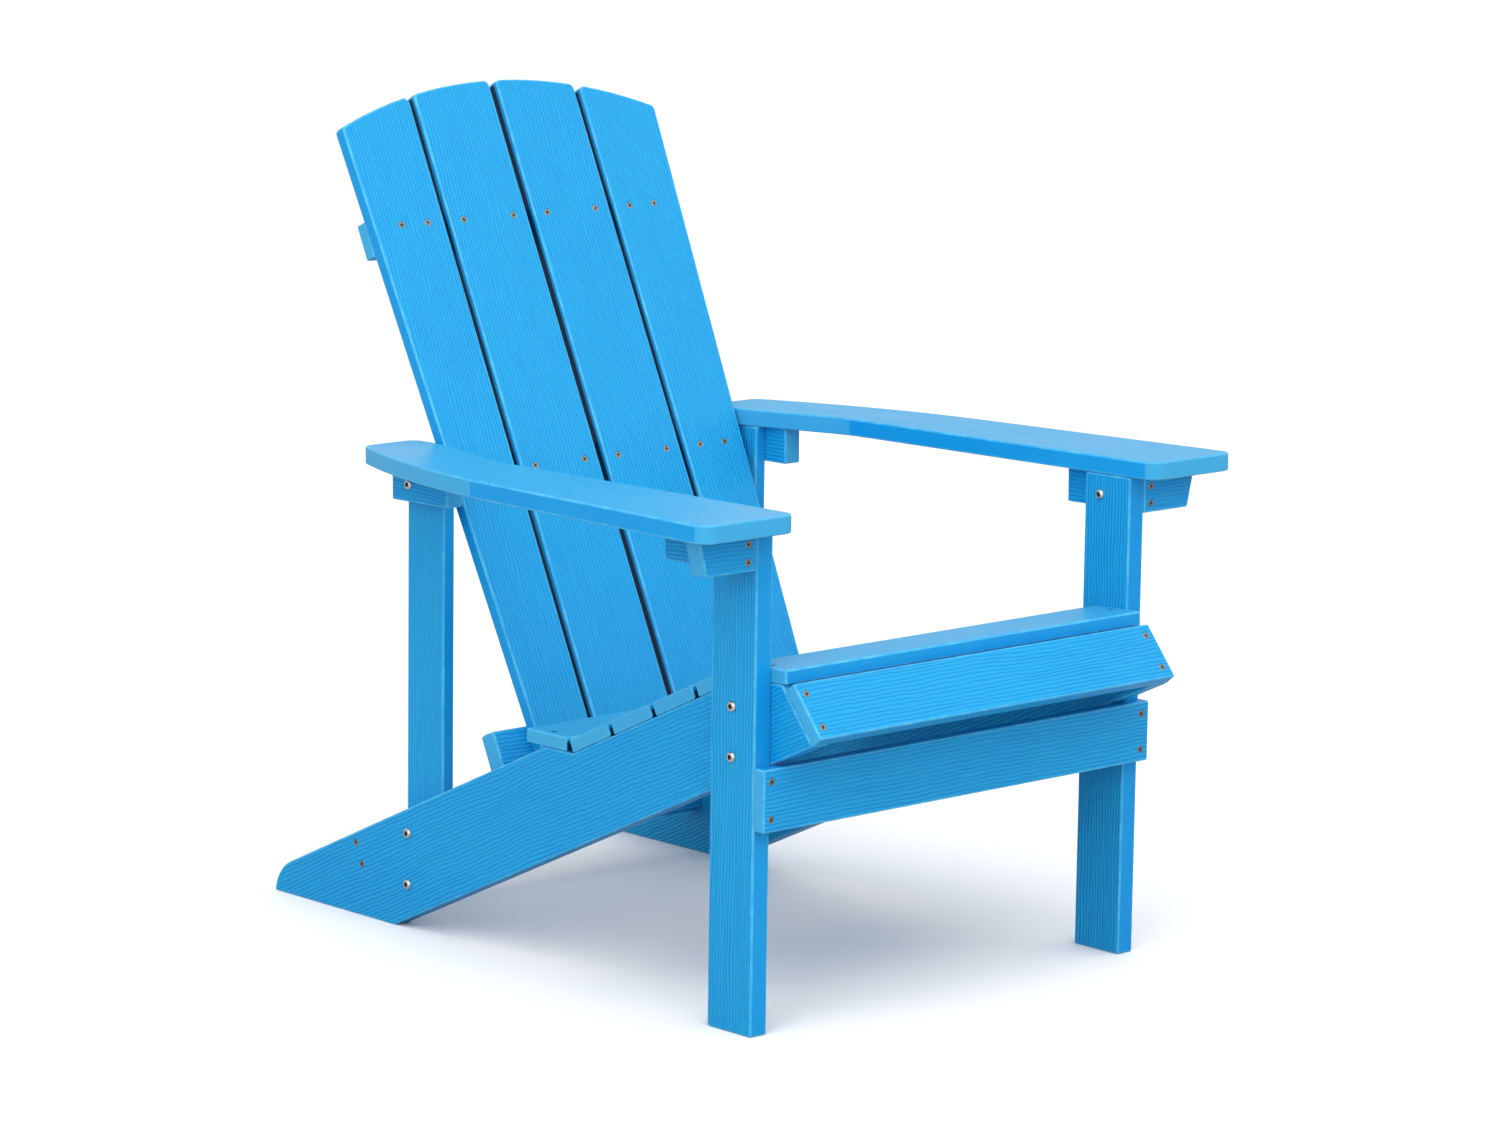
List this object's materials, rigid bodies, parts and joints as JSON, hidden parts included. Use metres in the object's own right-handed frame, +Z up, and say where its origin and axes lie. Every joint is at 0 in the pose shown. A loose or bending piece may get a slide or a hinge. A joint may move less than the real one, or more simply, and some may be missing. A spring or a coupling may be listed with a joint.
{
  "type": "adirondack chair",
  "caption": "Low outdoor lounge chair of bright blue poly lumber boards, with a reclined slatted back with an arched top, a sloping slatted seat and wide arms.",
  "frame": {"origin": "on the floor, under the middle of the chair's bounding box", "axes": "+Z up, -Y the way the sitter faces, +X towards the sitter's left"},
  "size_m": [0.7498, 0.8656, 0.8813],
  "materials": {
    "blue_poly_lumber": "satin, embossed wood grain on the wide faces, smooth edges",
    "stainless_steel": "bright, lightly brushed"
  },
  "bodies": {
    "root": {"apron": "blue_poly_lumber", "apron_screws": "stainless_steel", "arm_left": "blue_poly_lumber", "arm_right": "blue_poly_lumber", "arm_screws": "stainless_steel", "back_arm_rail": "blue_poly_lumber", "back_batten": "blue_poly_lumber", "back_lower_rail": "blue_poly_lumber", "back_slat_1": "blue_poly_lumber", "back_slat_2": "blue_poly_lumber", "back_slat_3": "blue_poly_lumber", "back_slat_4": "blue_poly_lumber", "back_slat_screws_lower": "stainless_steel", "back_slat_screws_middle": "stainless_steel", "back_slat_screws_upper": "stainless_steel", "front_bracket_left": "blue_poly_lumber", "front_bracket_right": "blue_poly_lumber", "front_bracket_screws": "stainless_steel", "front_leg_left": "blue_poly_lumber", "front_leg_right": "blue_poly_lumber", "front_stretcher": "blue_poly_lumber", "front_stretcher_screws": "stainless_steel", "leg_bolt_nuts": "stainless_steel", "leg_bolts": "stainless_steel", "lower_rail_screws": "stainless_steel", "post_bolt_nuts": "stainless_steel", "post_bolts": "stainless_steel", "rear_bracket_bolts": "stainless_steel", "rear_bracket_left": "blue_poly_lumber", "rear_bracket_right": "blue_poly_lumber", "rear_post_left": "blue_poly_lumber", "rear_post_right": "blue_poly_lumber", "rear_stretcher": "blue_poly_lumber", "rear_stretcher_screws": "stainless_steel", "seat_slat_1": "blue_poly_lumber", "seat_slat_2": "blue_poly_lumber", "seat_slat_3": "blue_poly_lumber", "seat_slat_4": "blue_poly_lumber", "seat_slat_5": "blue_poly_lumber", "seat_slat_6": "blue_poly_lumber", "seat_slat_screws": "stainless_steel", "side_block_bolts": "stainless_steel", "side_block_left": "blue_poly_lumber", "side_block_right": "blue_poly_lumber", "side_rail_left": "blue_poly_lumber", "side_rail_right": "blue_poly_lumber"}
  },
  "joints": []
}
